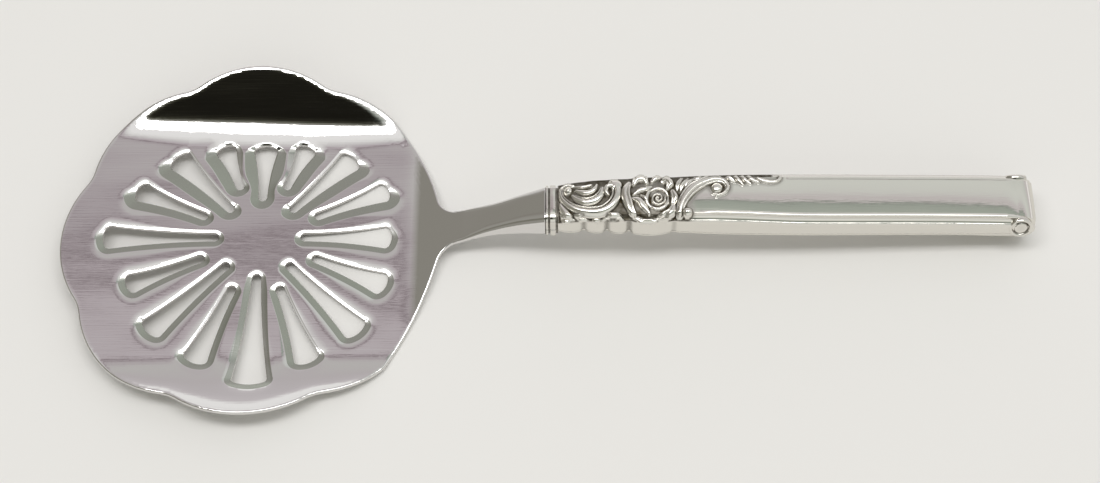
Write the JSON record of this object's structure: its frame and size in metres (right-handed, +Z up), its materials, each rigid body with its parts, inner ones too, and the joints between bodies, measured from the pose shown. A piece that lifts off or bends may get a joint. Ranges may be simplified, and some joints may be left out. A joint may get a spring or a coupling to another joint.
{
  "type": "tomato server",
  "caption": "Round pierced steel serving blade with a scalloped edge and folded sides, on a hollow silver handle carved with a rose and scrolls.",
  "frame": {"origin": "on the resting surface, under the middle of the bounding box", "axes": "+X along the server from the blade to the handle's end, +Z up from the resting surface"},
  "size_m": [0.2048, 0.081, 0.0173],
  "materials": {
    "blade_steel": "mirror-polished stainless steel",
    "handle_silver": "polished silver, darkened in the carving",
    "handle_filler": "hard cement, hidden"
  },
  "bodies": {
    "root": {"server_blade": "blade_steel", "handle_front": "handle_silver", "handle_back": "handle_silver", "handle_cement": "handle_filler"}
  },
  "joints": []
}
